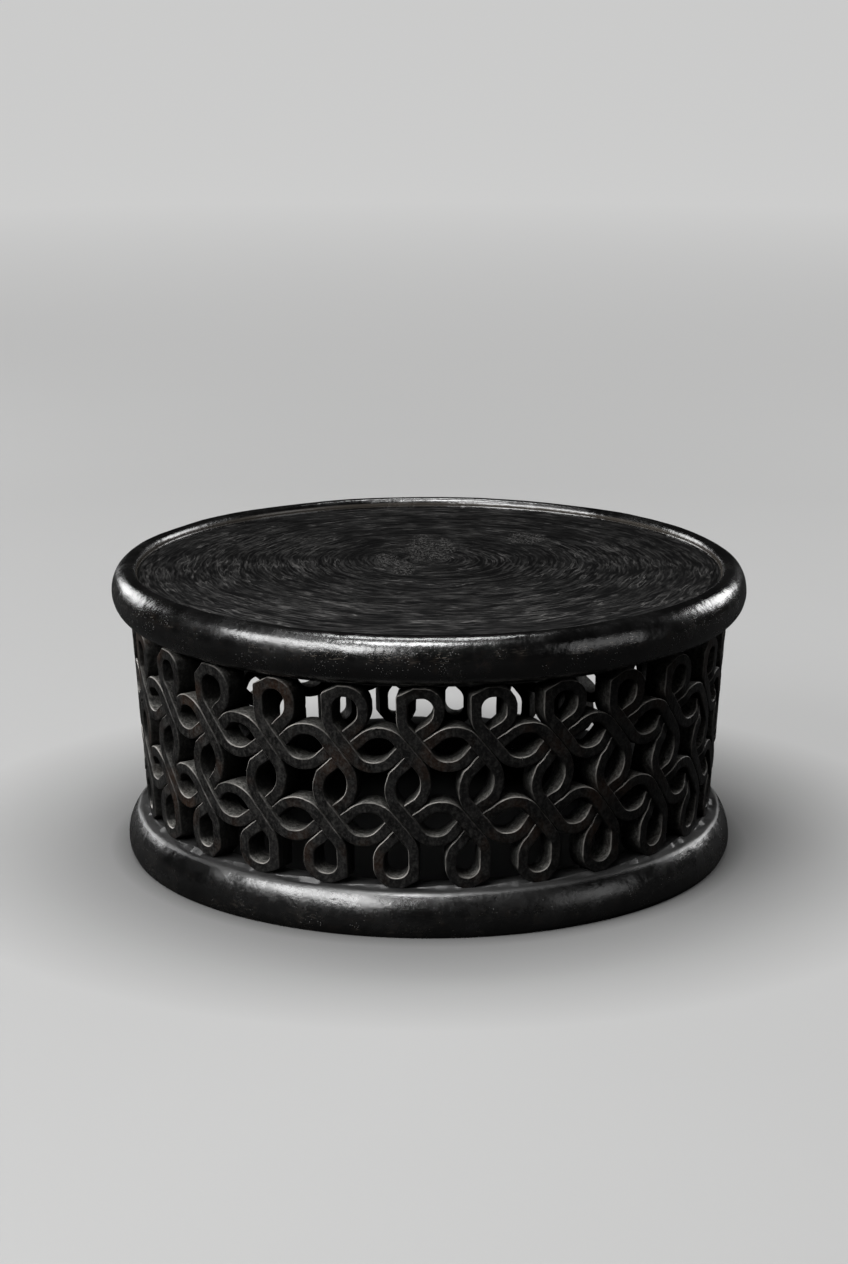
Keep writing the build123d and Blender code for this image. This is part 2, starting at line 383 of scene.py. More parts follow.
@dataclass(frozen=True)
class GougedTopFinish:
    """Black-stained wood under a thin wax, with hair-fine arcs left by the gouge, a rougher middle and a
    painted sheen that makes it lighter towards the front.
    """

    black: Colour = (0.0034, 0.0034, 0.0035, 1.0)
    streak: Colour = (0.0265, 0.0261, 0.0258, 1.0)
    worn: Colour = (0.078, 0.076, 0.074, 1.0)
    roughness: Span = (0.70, 0.52)
    cloud: Grain = Grain(18.0, 4.0, 0.6)
    drift: Grain = Grain(9.0, 2.0)
    drift_reach: float = 0.024
    stroke: Grain = Grain(1.0, 2.0)
    strokes: tuple[Span, ...] = ((62.0, 7.0), (135.0, 14.0), (270.0, 26.0))
    peck: Grain = Grain(330.0, 2.0, 0.7)
    grit: Grain = Grain(420.0, 2.0)
    line_middle: float = 0.53
    # Painted sheen: towards the front edge the top's colour is made up to 1.9 times as light.
    front: Span = (-0.38, -0.02)
    front_gain: float = 1.9

    def arcs(self, bench: NodeBench) -> list[NodeSocket]:
        """Noises drawn out into arcs round the swirl's middle.

        Args:
            bench: the material's bench.

        Returns:
            The wide, the middle and the hair-fine noise.
        """
        flat = bench.place(FLAT)
        share = bench.math("DIVIDE", bench.vector_math("LENGTH", flat), TOP_RADIUS * MM)
        inward = bench.math("SUBTRACT", 1.0, bench.math("POWER", share, 2.0))
        flat = bench.vector_math("SUBTRACT", flat, bench.scaled((SWIRL[0] * MM, SWIRL[1] * MM, 0.0), inward))
        far = bench.vector_math("LENGTH", flat)
        round_way = bench.vector_math("NORMALIZE", flat)
        ring = bench.plus(far, bench.times(bench.noise(self.drift), self.drift_reach))
        made = []
        for across, along in self.strokes:
            step = bench.node("ShaderNodeCombineXYZ", in2=bench.times(ring, across)).outputs[0]
            spot = bench.vector_math("ADD", step, bench.scaled(round_way, bench.times(far, along)))
            made.append(bench.noise(self.stroke, spot))
        return made

    def material(self) -> Material:
        """Builds the material.

        Returns:
            The material.
        """
        bench = NodeBench("gouged_top")
        wide, middle, hair = self.arcs(bench)
        cloud = bench.noise(self.cloud)
        streaks = bench.plus(bench.ramp(wide, (0.46, 0.66), 0.0, 0.3),
                             bench.ramp(hair, (0.48, 0.60), 0.0, 0.6),
                             bench.times(bench.line(middle, self.line_middle, 0.03, 1.0), 0.5))
        ridge = bench.times(bench.attribute("wear"), bench.ramp(middle, (0.46, 0.58), 0.0, 0.4))
        line = bench.times(bench.line(wide, self.line_middle, 0.022, 1.0),
                           bench.ramp(cloud, (0.40, 0.58), 0.05, 0.9))
        furrow = bench.times(bench.line(middle, 0.5, 0.03, 0.85), bench.ramp(wide, (0.4, 0.55), 0.3, 1.0))
        pecks = bench.times(bench.attribute("patch"), bench.ramp(bench.noise(self.peck), (0.50, 0.62)))
        colour = bench.coats(
            self.black,
            (bench.times(streaks, bench.ramp(cloud, (0.36, 0.62), 0.2, 1.0)), self.streak),
            (bench.math("MAXIMUM", ridge, line), self.worn),
            (furrow, self.black),
            (bench.line(hair, 0.46, 0.035, 0.75), self.black),
            (pecks, self.worn),
        )
        # Painted sheen: colour scaled up towards the front edge.
        colour = bench.scaled(colour, bench.ramp(bench.back, self.front, self.front_gain, 1.0))
        bench.shade(colour, bench.ramp(middle, (0.35, 0.65), *self.roughness), 0.04, 1.3)
        bench.bumps((wide, 0.0022), (middle, 0.0016), (hair, 0.0008), (bench.noise(self.grit), 0.00015),
                    (pecks, 0.0008))
        return bench.material


@dataclass(frozen=True)
class CutWallFinish:
    """Stained wood as the knife left it: matt, black to dark brown, with rubbed edges, pale flecks and
    painted light and shade.
    """

    black: Colour = (0.0022, 0.0021, 0.0021, 1.0)
    grey: Colour = (0.0150, 0.0147, 0.0145, 1.0)
    brown: Colour = (0.038, 0.0205, 0.0125, 1.0)
    dust: Colour = (0.048, 0.0465, 0.044, 1.0)
    # Near-black painted shade, laid on cut faces that face down and deep in the recesses.
    painted_shade: Colour = (0.0012, 0.0012, 0.0012, 1.0)
    # Pale raw-cut wood, shown fully only on cut faces that face up and left: partly the wood's own colour,
    # partly painted light.
    cut: Colour = (0.215, 0.211, 0.196, 1.0)
    # Rubbed edge colour, shown most where edges face up and left: wear and painted highlight.
    rubbed: Colour = (0.42, 0.40, 0.375, 1.0)
    roughness: Span = (0.55, 0.69)
    foot_radius: float = 0.3994
    cloud: Grain = Grain(30.0, 5.0, 0.6)
    patch: Grain = Grain(13.0)
    grain: Grain = Grain(430.0, 3.0, 0.6, (1.0, 1.0, 0.16))
    speck: Grain = Grain(260.0, 3.0, 0.75)
    slant: Grain = Grain(150.0, 4.0, 0.7, (1.0, 1.0, 0.45))
    slant_shift: Triple = (0.0, 0.0, 0.3)
    rubbing: Grain = Grain(21.0)
    knife: Grain = Grain(85.0, 2.0)
    leftward_share: float = 1.5
    # Painted light: across this span, from left to right, the face fades halfway to black and cuts and edges
    # drop to half strength.
    painted_left_light_side: Span = (-0.36, 0.14)
    # Span across the wall from which edges that face right also get the painted highlight.
    far_side: Span = (0.26, 0.37)
    # Depth into the wall over which painted shade deepens.
    shaded_recess: Span = (0.005, 0.017)
    # Depth into the wall over which cut faces are painted darker: painted shade.
    behind: Span = (0.014, 0.036)

    def material(self) -> Material:
        """Builds the material.

        Returns:
            The material.
        """
        bench = NodeBench("cut_wall")
        cloud, patch = bench.noise(self.cloud), bench.noise(self.patch)
        grain, speck = bench.noise(self.grain), bench.noise(self.speck)
        shifted = bench.vector_math("ADD", bench.place(self.slant.squeeze), self.slant_shift)
        slant = bench.noise(self.slant, shifted)
        wear, open_cut = bench.attribute("wear"), bench.attribute("cut")
        normal = bench.node("ShaderNodeNewGeometry").outputs["Normal"]
        leftward = bench.split(bench.vector_math("CROSS_PRODUCT", normal, bench.even))[2]
        # How far a surface faces up and to the left, towards the key light; it steers painted light and
        # shade.
        light_facing = bench.plus(bench.split(normal)[2], bench.times(leftward, self.leftward_share))
        # Painted light: 1 on the left, 0.5 on the right, so the wall is lighter on its left side.
        painted_left_light = bench.ramp(bench.across, self.painted_left_light_side, 1.0, 0.5)
        skin = bench.plus(bench.times(bench.height, FLARE), self.foot_radius)
        deep = bench.math("SUBTRACT", skin, bench.vector_math("LENGTH", bench.place(FLAT)))
        face = bench.coats(
            self.black,
            (bench.ramp(cloud, (0.34, 0.66)), self.grey),
            (bench.ramp(patch, (0.52, 0.66), 0.0, 0.85), self.brown),
            (bench.ramp(slant, (0.48, 0.62), 0.0, 0.6), self.dust),
            (bench.ramp(speck, (0.52, 0.62), 0.0, 0.65), self.dust),
            (bench.ramp(speck, (0.48, 0.38), 0.0, 0.7), self.black),
        )
        # Cut faces: raw wood, painted lighter where they face up and left and darker deeper in the wall;
        # painted light and shade.
        cut_wood_and_painted_light = bench.times(
            open_cut, bench.ramp(light_facing, (0.0, 0.7), 0.1, 1.0), bench.ramp(slant, (0.36, 0.60), 0.35, 1.0),
            bench.ramp(speck, (0.40, 0.58), 0.35, 1.0), bench.ramp(deep, self.behind, 1.0, 0.4), painted_left_light)
        # Edges are rubbed lighter, strongest where they face up and left and, at the far right, where they
        # face right: wear and painted highlight.
        lit_side = bench.math("MAXIMUM", light_facing,
                              bench.times(leftward, bench.ramp(bench.across, self.far_side, 0.0, -2.6)))
        worn = bench.times(wear, painted_left_light, bench.ramp(bench.noise(self.rubbing), (0.38, 0.58), 0.2, 1.0),
                           bench.ramp(lit_side, (0.0, 0.6), 0.06, 1.0))
        colour = bench.coats(
            bench.mix(painted_left_light, self.black, face),
            # Painted shade on cut faces that do not face up or to the left, and deeper in the recesses.
            (bench.times(open_cut, bench.ramp(light_facing, (-0.1, 0.35), 0.9, 0.0)), self.painted_shade),
            (bench.ramp(deep, self.shaded_recess, 0.0, 0.9), self.painted_shade),
            (cut_wood_and_painted_light, self.cut),
            (worn, self.rubbed),
        )
        rough = bench.math("SUBTRACT", bench.ramp(grain, (0.3, 0.7), *self.roughness), bench.times(wear, 0.2))
        bench.shade(colour, rough, 0.14)
        bench.bumps((bench.noise(self.knife), 0.0014), (slant, 0.0007), (grain, 0.0004), (speck, 0.0004))
        return bench.material


# ---- Shared shape helpers ----


def put(name: str, data: object) -> Object:
    """Adds an object to the scene.

    Args:
        name: the object's name.
        data: its mesh, lamp or camera.

    Returns:
        The object.
    """
    made = bpy.data.objects.new(name, data)
    bpy.context.scene.collection.objects.link(made)
    return made


def meshed(name: str, shape: bmesh.types.BMesh, finish: Material) -> Object:
    """Adds an object with a shape and a finish to the scene, and frees the shape.

    Args:
        name: name of the object.
        shape: its shape, in metres.
        finish: its material.

    Returns:
        The object.
    """
    mesh = bpy.data.meshes.new(name)
    shape.to_mesh(mesh)
    shape.free()
    mesh.materials.append(finish)
    return put(name, mesh)


def dress(name: str, shape: bmesh.types.BMesh, finish: Material, nodes: list[str],
          crease: float) -> None:
    """Turns a finished shape into a piece of the table that stands for CAD nodes.

    Args:
        name: name of the piece.
        shape: its closed shape, in metres; it is freed.
        finish: its material.
        nodes: CAD nodes that the piece stands for.
        crease: angle in degrees from which an edge is shown sharp.
    """
    bmesh.ops.recalc_face_normals(shape, faces=shape.faces)
    for edge in shape.edges:
        edge.smooth = edge.calc_face_angle(0.0) < math.radians(crease)
    for face in shape.faces:
        face.smooth = True
    piece = meshed(name, shape, finish)
    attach(piece, "root")
    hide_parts(*nodes)
    log.info("%s: %d faces, stands for %d solids", name, len(piece.data.polygons), len(nodes))


def smooth_step(value: float, low: float, high: float) -> float:
    """0 up to low, 1 from high on, and a smooth rise between them."""
    share = min(max((value - low) / (high - low), 0.0), 1.0)
    return share * share * (3.0 - 2.0 * share)


def left_of(way: Vector) -> Vector:
    """A direction of the flat frame turned a quarter to the left."""
    return Vector((-way.y, way.x))


def turned(way: Vector, angle: float) -> Vector:
    """A vector of the flat frame turned by an angle in radians."""
    cosine, sine = math.cos(angle), math.sin(angle)
    return Vector((way.x * cosine - way.y * sine, way.x * sine + way.y * cosine))


def round_place(place: Vector) -> tuple[float, float, Vector]:
    """Radius and height, in millimetres, of a place of the frame, and its direction out from the axis."""
    return math.hypot(place.x, place.y) / MM, place.z / MM, Vector((place.x, place.y, 0.0)).normalized()


def dent(place: Vector, dents: tuple[Span, ...]) -> float:
    """How far in, in metres and below 0, a hand tool left a surface; each dent has a scale and a depth."""
    return sum(depth * (noise.noise(place * scale) - 1.0) for scale, depth in dents) * MM


def spun(profile: list[Point], closed: bool, steps: int) -> bmesh.types.BMesh:
    """Spins a profile round the Z axis.

    Args:
        profile: radius and height of each point, in millimetres.
        closed: whether the profile's ends are joined; open ends lie on the axis.
        steps: how many steps the turn has.

    Returns:
        The shape, in metres, with a float attribute "wear" on its points.
    """
    shape = bmesh.new()
    shape.verts.layers.float.new("wear")
    points = [shape.verts.new((0.0, -radius * MM, height * MM)) for radius, height in profile]
    ends = points[1:] + points[:1] if closed else points[1:]
    edges = [shape.edges.new(pair) for pair in zip(points, ends)]
    bmesh.ops.spin(shape, geom=points + edges, cent=(0, 0, 0), axis=(0, 0, 1), angle=math.tau,
                   steps=steps, use_merge=True, use_duplicate=False)
    bmesh.ops.remove_doubles(shape, verts=shape.verts, dist=1e-6)
    return shape


def arc(centre: Point, radii: Point, start: float, end: float, count: int) -> list[Point]:
    """Points on a quarter or other part of an ellipse.

    Args:
        centre: radius and height of its middle.
        radii: its half width and half height.
        start: first angle in degrees, from outwards up.
        end: last angle in degrees.
        count: number of points.

    Returns:
        The points, both ends included.
    """
    angles = [math.radians(start + (end - start) * i / (count - 1)) for i in range(count)]
    return [(centre[0] + radii[0] * math.cos(a), centre[1] + radii[1] * math.sin(a)) for a in angles]


def finer(profile: list[Point], step: float) -> list[Point]:
    """The same profile with points at most a step apart.

    Args:
        profile: radius and height of each point.
        step: the longest step.

    Returns:
        The points, both ends included.
    """
    made: list[Point] = []
    for (r0, z0), (r1, z1) in zip(profile, profile[1:]):
        parts = max(1, math.ceil(math.hypot(r1 - r0, z1 - z0) / step))
        made += [(r0 + (r1 - r0) * i / parts, z0 + (z1 - z0) * i / parts) for i in range(parts)]
    return made + [profile[-1]]


# ---- Wall ----


@dataclass(frozen=True)
class Station:
    """One place along the middle of a band, with what its outer edge adds to either side."""

    spot: Vector
    way: Vector
    left_extra: float = 0.0
    right_extra: float = 0.0

    @property
    def side(self) -> Vector:
        """Direction to the left of the band."""
        return left_of(self.way)

    def half_turned(self) -> "Station":
        """The same station turned half round the middle of the flat frame."""
        return replace(self, spot=-self.spot, way=-self.way)

    def moved(self, shift: float) -> "Station":
        """The same station moved along the wall."""
        return replace(self, spot=self.spot + Vector((shift, 0.0)))


@dataclass(frozen=True)
class Knot:
    """A crossing on a band: its middle, the direction of the pair that it meets, and who is on top."""

    middle: Vector
    other: Vector
    kind: Crossing
    reach: float = 60.0
    steepest: float = 0.55

    def depth(self, station: Station) -> float:
        """How far along the band, square to the other pair, a station is past the middle of the knot.

        Args:
            station: a station of the band.

        Returns:
            The distance, below 0 before the middle.
        """
        square = left_of(self.other)
        if square.dot(station.way) < 0:
            square = -square
        return (station.spot - self.middle).dot(square)

    def holds(self, station: Station) -> bool:
        """Whether a station belongs to the run of the band through this knot."""
        near = (station.spot - self.middle).length < self.reach
        return near and abs(self.other.dot(station.way)) < self.steepest


@dataclass(frozen=True)
class Corner:
    """A corner of a band's middle line and how it is rounded."""

    spot: Vector
    radius: float
    cut: Cut


@dataclass
class DrumWall:
    """Openwork wall: two looped bands and a chain of linked rings, drawn column by column."""

    middle_height: float = 202.5
    middle_radius: float = 413.0
    height: float = 283.0
    thickness: float = 34.0
    columns: int = 26
    first_column: float = -4.3
    row_share: float = 0.366
    lens_share: float = 0.2336
    lean_angle: float = 9.2
    lane: float = 8.5
    half_band: float = 8.2
    loop_half_band: float = 7.35
    pair_half: float = 16.8
    halving_gap: float = 0.15
    skew_run: Span = (2.0, 16.0)
    thin_run: float = 22.0
    dip_length: float = 20.0
    relief: float = 5.2
    lens_bend: float = 32.5
    side_bend: float = 38.0
    loop_width: float = 47.6
    loop_shift: float = 8.0
    loop_corner: float = 23.0
    loop_shoulder: float = 25.0
    arris: float = 1.15
    deepest_flank: float = 4.5
    step: float = 2.6
    hair: float = 0.01
    crease: float = 32.0
    wobble: tuple[Span, ...] = ((14.0, 1.1), (62.0, 0.34), (190.0, 0.16))
    shortest_run: float = 0.05
    seed: int = 11
    across_drift: Span = (-3.5, 3.5)
    up_drift: Span = (-4.0, 4.0)
    width_spread: Span = (-2.0, 1.6)
    rim_gap: Span = (2.4, 4.6)
    base_gap: float = -0.3
    shift_spread: Span = (-2.0, 1.2)
    lens_spread: Span = (-0.8, 0.8)
    round_share: float = 0.7
    front_drift: tuple[float, ...] = (-3.4, 2.0, 4.6, 2.8, -0.6, -1.0, -4.8, -0.3, 4.4)
    front_rise: tuple[float, ...] = (-1.0, -6.0, -4.5, 1.0, 2.0, 4.5, 5.5, 5.0, 4.0)
    front_first: int = -3

    def __post_init__(self) -> None:
        """Works out the column frame and how far the carver set each column out of place."""
        self.dice = random.Random(self.seed)
        noise.seed_set(self.seed)
        self.pitch = math.tau * self.middle_radius / self.columns
        half_row = self.height * self.row_share / 2
        self.knot = Vector((half_row * math.tan(math.radians(self.lean_angle)), half_row))
        self.fall = Vector((self.pitch / 2 - self.knot.x, -half_row)).normalized()
        self.rise = Vector((self.pitch / 2 + self.knot.x, half_row)).normalized()
        self.rise_lane = left_of(self.rise) * self.lane
        self.fall_lane = left_of(self.fall) * self.lane
        self.rise_tangent = self.lens_bend * math.tan(self.rise.angle(LEVEL) / 2)
        self.fall_tangent = self.lens_bend * math.tan(self.fall.angle(LEVEL) / 2)
        self.lens = half_row * 2 * self.lens_share
        self.drift = [self.dice.uniform(*self.across_drift) for _ in range(self.columns)]
        self.rise_drift = [self.dice.uniform(*self.up_drift) for _ in range(self.columns)]
        for offset, (across, up) in enumerate(zip(self.front_drift, self.front_rise)):
            place = (self.front_first + offset) % self.columns
            self.drift[place] = across
            self.rise_drift[place] = up

    # Drawing in the flat frame

    @staticmethod
    def meet(point: Vector, way: Vector, other: Vector, other_way: Vector) -> Vector:
        """Where two lines of the flat frame cross.

        Args:
            point: a point of the first line.
            way: the first line's direction.
            other: a point of the second line.
            other_way: the second line's direction.

        Returns:
            The crossing point.
        """
        span = other - point
        turn = way.x * other_way.y - way.y * other_way.x
        return point + way * ((span.x * other_way.y - span.y * other_way.x) / turn)

    def at_height(self, point: Vector, way: Vector, height: float) -> Vector:
        """Where a line of the flat frame reaches a height."""
        return self.meet(point, way, Vector((0.0, height)), LEVEL)

    def run(self, start: Vector, end: Vector) -> list[Station]:
        """Stations on a straight run, without its end.

        Args:
            start: where the run starts.
            end: where it ends.

        Returns:
            The stations in order.
        """
        way = (end - start).normalized()
        parts = max(1, round((end - start).length / self.step))
        return [Station(start.lerp(end, i / parts), way) for i in range(parts)]

    def bend(self, before: Vector, corner: Corner, after: Vector) -> tuple[Vector, list[Station], Vector]:
        """Rounds a corner of a middle line.

        Args:
            before: the corner before it.
            corner: the corner.
            after: the corner after it.

        Returns:
            Where the bend starts, its stations without the last, and where it ends.
        """
        arriving = (corner.spot - before).normalized()
        leaving = (after - corner.spot).normalized()
        side = 1.0 if arriving.x * leaving.y > arriving.y * leaving.x else -1.0
        turn = arriving.angle(leaving)
        reach = corner.radius * math.tan(turn / 2)
        start = corner.spot - arriving * reach
        centre = start + left_of(arriving) * (side * corner.radius)
        outer = corner.radius + self.loop_half_band
        parts = max(3, math.ceil(turn * outer / self.step))
        made = []
        for i in range(parts):
            share = i / parts
            angle = side * turn * share
            off = min(abs(share - flat) for flat in corner.cut.value) * turn
            extra = outer / math.cos(off) - outer
            extras = (0.0, extra) if side > 0 else (extra, 0.0)
            made.append(Station(centre + turned(start - centre, angle), turned(arriving, angle), *extras))
        return start, made, corner.spot + leaving * reach

    def line(self, start: Vector, corners: list[Corner], end: Vector) -> list[Station]:
        """Stations of a middle line from start, through its rounded corners, up to but without its end.

        Args:
            start: where it starts.
            corners: its corners in order.
            end: where it ends.

        Returns:
            The stations in order.
        """
        spots = [start, *(corner.spot for corner in corners), end]
        made: list[Station] = []
        last = start
        for before, corner, after in zip(spots, corners, spots[2:]):
            bend_start, bend, bend_end = self.bend(before, corner, after)
            if (bend_start - last).length > self.shortest_run:
                made += self.run(last, bend_start)
            made += bend
            last = bend_end
        if (end - last).length > self.shortest_run:
            made += self.run(last, end)
        return made

    def stepped(self, stations: list[Station], knots: list[Knot]) -> list[Station]:
        """Adds the two sides of each halved crossing as pairs of stations a hair apart.

        Args:
            stations: the stations of a closed or repeated run.
            knots: the knots on it.

        Returns:
            All stations in order.
        """
        made: list[Station] = []
        for here, then in zip(stations, stations[1:] + stations[:1]):
            made.append(here)
            for knot in knots:
                if not (knot.holds(here) and knot.holds(then)):
                    continue
                start, end = knot.depth(here), knot.depth(then)
                for edge in (-self.pair_half, self.pair_half):
                    if start < edge < end:
                        for depth in (edge - self.hair, edge + self.hair):
                            share = (depth - start) / (end - start)
                            made.append(replace(here, spot=here.spot.lerp(then.spot, share)))
        return made

    def looped_column(self, column: int, sense: float) -> tuple[list[Station], list[Knot]]:
        """One column of a looped band, from the middle of one flat lens arc to the next.

        Args:
            column: number of the column from the front.
            sense: 1 for the upper band; -1 for the lower band, which is the same turned half round.

        Returns:
            Its stations and its knots, in the wall's flat frame.
        """
        dice = self.dice
        half_loop = (self.loop_width + dice.uniform(*self.width_spread)) / 2
        gap = dice.uniform(*self.rim_gap) if sense > 0 else self.base_gap
        loop_top = self.height / 2 - self.loop_half_band - gap
        middle = self.knot.x + self.loop_shift + dice.uniform(*self.shift_spread)
        arc_low = self.knot.y - self.lens + dice.uniform(*self.lens_spread)
        rising, falling = self.knot + self.rise_lane, self.knot + self.fall_lane
        join_height = self.knot.y - self.lens
        foot = self.at_height(rising, self.rise, arc_low)
        tail = self.at_height(falling, self.fall, join_height)
        right, left = Vector((middle + half_loop, loop_top)), Vector((middle - half_loop, loop_top))
        plain_foot = self.at_height(rising, self.rise, join_height)
        join = self.pitch / 2 + (tail.x + self.fall_tangent + plain_foot.x - self.rise_tangent) / 2
        corner = min(self.loop_corner, half_loop - 0.5)
        rounded = dice.random() < self.round_share
        first_cut, second_cut = (Cut.ROUND, Cut.POINTED) if rounded else (Cut.KINKED, Cut.EVEN)
        corners = [
            Corner(foot, self.lens_bend, Cut.ROUND),
            Corner(self.meet(rising, self.rise, right, UPRIGHT), self.loop_shoulder, Cut.ROUND),
            Corner(right, corner, first_cut),
            Corner(left, corner, second_cut),
            Corner(self.meet(falling, self.fall, left, UPRIGHT), self.loop_shoulder, Cut.ROUND),
            Corner(tail, self.lens_bend, Cut.ROUND),
        ]
        stations = self.line(Vector((join - self.pitch, join_height)), corners, Vector((join, join_height)))
        knots = [Knot(self.knot, self.fall, Crossing.UNDER), Knot(self.knot, self.rise, Crossing.OVER)]
        stations = self.stepped(stations, knots)
        if sense < 0:
            stations = [station.half_turned() for station in stations]
            knots = [replace(knot, middle=-knot.middle) for knot in knots]
        shift = Vector((column * self.pitch, 0.0))
        return ([station.moved(shift.x) for station in stations],
                [replace(knot, middle=knot.middle + shift) for knot in knots])

    def ring_half(self) -> list[Station]:
        """Left half of a linked ring in the frame of the column on its left, from its top to its bottom.

        Returns:
            Its stations.
        """
        arc_high = self.knot.y + self.lens
        under_line, over_line = self.knot - self.rise_lane, self.fall_lane - self.knot
        top = self.at_height(under_line, self.rise, arc_high)
        side = self.meet(under_line, self.rise, over_line, self.fall)
        bottom = self.at_height(over_line, self.fall, -arc_high)
        lean = (top.x + self.rise_tangent - bottom.x - self.fall_tangent) / 2
        corners = [
            Corner(top, self.lens_bend, Cut.ROUND),
            Corner(side, self.side_bend, Cut.KINKED),
            Corner(bottom, self.lens_bend, Cut.ROUND),
        ]
        start = Vector((self.pitch / 2 + lean, arc_high))
        stations = self.line(start, corners, Vector((self.pitch / 2 - lean, -arc_high)))
        knots = [Knot(self.knot, self.fall, Crossing.UNDER), Knot(-self.knot, self.rise, Crossing.OVER)]
        return self.stepped(stations, knots)

    def ring(self, column: int) -> tuple[list[Station], list[Knot]]:
        """One linked ring between a column and the next, in the wall's flat frame.

        Args:
            column: number of the column on its left.

        Returns:
            Its stations and its knots.
        """
        half = self.ring_half()
        shift = column * self.pitch
        stations = [station.moved(shift) for station in half]
        stations += [station.half_turned().moved(shift + self.pitch) for station in half]
        here, then = Vector((shift, 0.0)), Vector((shift + self.pitch, 0.0))
        knots = [
            Knot(here + self.knot, self.fall, Crossing.UNDER),
            Knot(here - self.knot, self.rise, Crossing.OVER),
            Knot(then - self.knot, self.fall, Crossing.UNDER),
            Knot(then + self.knot, self.rise, Crossing.OVER),
        ]
        return stations, knots

    # From the flat frame to the wall

    def levels(self, station: Station, knots: list[Knot]) -> tuple[float, float, float, Vector]:
        """Depths of a band's faces at a station.

        Args:
            station: the station.
            knots: the knots on the band.

        Returns:
            Depth of its outer face, depth of its inner face, its half width and its cross direction.
        """
        top, back = 0.0, -self.thickness
        side = station.side
        nearest = 1e9
        half_depth = self.thickness / 2
        for knot in knots:
            if not knot.holds(station):
                continue
            depth = abs(knot.depth(station))
            nearest = min(nearest, depth)
            if knot.kind is Crossing.UNDER:
                dip = self.relief * (1.0 - smooth_step(depth - self.pair_half, 0.0, self.dip_length))
                top = -half_depth - self.halving_gap if depth < self.pair_half else -dip
            elif depth < self.pair_half:
                back = -half_depth + self.halving_gap
            skew = knot.other if knot.other.dot(side) > 0 else -knot.other
            skew = skew / skew.dot(side)
            side = side.lerp(skew, 1.0 - smooth_step(depth - self.pair_half, *self.skew_run))
        thin = smooth_step(nearest - self.pair_half, 0.0, self.thin_run)
        half = self.half_band + (self.loop_half_band - self.half_band) * thin
        return top, back, half, side

    def section(self, left: float, right: float, top: float, back: float) -> list[tuple[float, ...]]:
        """Closed outline of a band across its way.

        Args:
            left: half width to the left.
            right: half width to the right.
            top: depth of the outer face.
            back: depth of the inner face.

        Returns:
            Offset to the left, depth, wear and openness of the cut of each point.
        """
        soft = self.arris
        deep = min(self.deepest_flank, (top - back) / 3)
        rubbed = 1.0 if top > -self.relief * 1.05 else 0.0
        flank = self.lane - 0.05 - self.half_band
        arris = [
            (soft + 0.12, 0.0, 0.0, 0.0), (soft, 0.03, rubbed, 0.3), (0.12, soft - 0.05, rubbed, 0.8),
            (0.0, soft + 0.35, 0.1 * rubbed, 1.0), (-flank * 0.6, deep, 0.0, 1.0),
        ]
        to_left = [(left - inset, top - down, wear, cut) for inset, down, wear, cut in arris]
        to_right = [(inset - right, top - down, wear, cut) for inset, down, wear, cut in reversed(arris)]
        return [
            (-right / 2, top, 0.0, 0.0), (0.0, top, 0.0, 0.0), (left / 2, top, 0.0, 0.0), *to_left,
            (left + flank, (top + back) / 2, 0.0, 0.9), (left + flank, back + soft, 0.0, 0.7),
            (left - soft, back, 0.0, 0.0), (0.0, back, 0.0, 0.0), (soft - right, back, 0.0, 0.0),
            (-right - flank, back + soft, 0.0, 0.7), (-right - flank, (top + back) / 2, 0.0, 0.9), *to_right,
        ]

    def set_out(self, spot: Vector) -> Vector:
        """Where a point of the even drawing really is on the wall that the carver set out by eye.

        Args:
            spot: the point of the even drawing.

        Returns:
            The point as set out.
        """
        place = spot.x / self.pitch
        low = math.floor(place)
        share = smooth_step(place - low, 0.0, 1.0)
        here, then = low % self.columns, (low + 1) % self.columns
        across = self.drift[here] * (1 - share) + self.drift[then] * share
        up = self.rise_drift[here] * (1 - share) + self.rise_drift[then] * share
        room = max(0.0, 1.0 - (spot.y / (self.height / 2)) ** 2)
        return Vector((spot.x + across, spot.y + up * room))

    def wrap(self, spot: Vector, depth: float) -> Vector:
        """Place in the frame, in metres, of a point of the flat frame at a depth from the wall's skin.

        Args:
            spot: the point of the flat frame.
            depth: how far out of the skin it lies.

        Returns:
            The place.
        """
        radius = self.middle_radius + FLARE * spot.y + depth
        angle = spot.x / self.middle_radius + math.radians(self.first_column)
        return Vector((radius * math.sin(angle), -radius * math.cos(angle), self.middle_height + spot.y)) * MM

    def wobbled(self, place: Vector) -> Vector:
        """A point of the wall moved as an unsteady hand would leave it."""
        moves = (noise.noise_vector(place * scale) * reach for scale, reach in self.wobble)
        return place + sum(moves, Vector()) * MM

    def swept(self, bands: list[tuple[list[Station], list[Knot]]]) -> bmesh.types.BMesh:
        """Sweeps the band's section along closed runs of stations.

        Args:
            bands: the parts of one closed band in order, each with its stations and knots.

        Returns:
            The closed shape, in metres.
        """
        rows: list[list[tuple[Vector, float, float]]] = []
        for stations, knots in bands:
            for station in stations:
                top, back, half, side = self.levels(station, knots)
                outline = self.section(half + station.left_extra, half + station.right_extra, top, back)
                rows.append([(self.wrap(self.set_out(station.spot + side * offset), depth), wear, cut)
                             for offset, depth, wear, cut in outline])
        rows.append(rows[0])
        width = len(rows[0])
        shape = bmesh.new()
        bmesh.ops.create_grid(shape, x_segments=width, y_segments=len(rows) - 1, size=1.0)
        wear_layer = shape.verts.layers.float.new("wear")
        cut_layer = shape.verts.layers.float.new("cut")
        made = sorted(shape.verts, key=lambda vert: (round(vert.co.y, 6), round(vert.co.x, 6)))
        for number, vert in enumerate(made):
            row, column = divmod(number, width + 1)
            place, vert[wear_layer], vert[cut_layer] = rows[row][column % width]
            vert.co = self.wobbled(place)
        bmesh.ops.remove_doubles(shape, verts=shape.verts, dist=1e-6)
        return shape

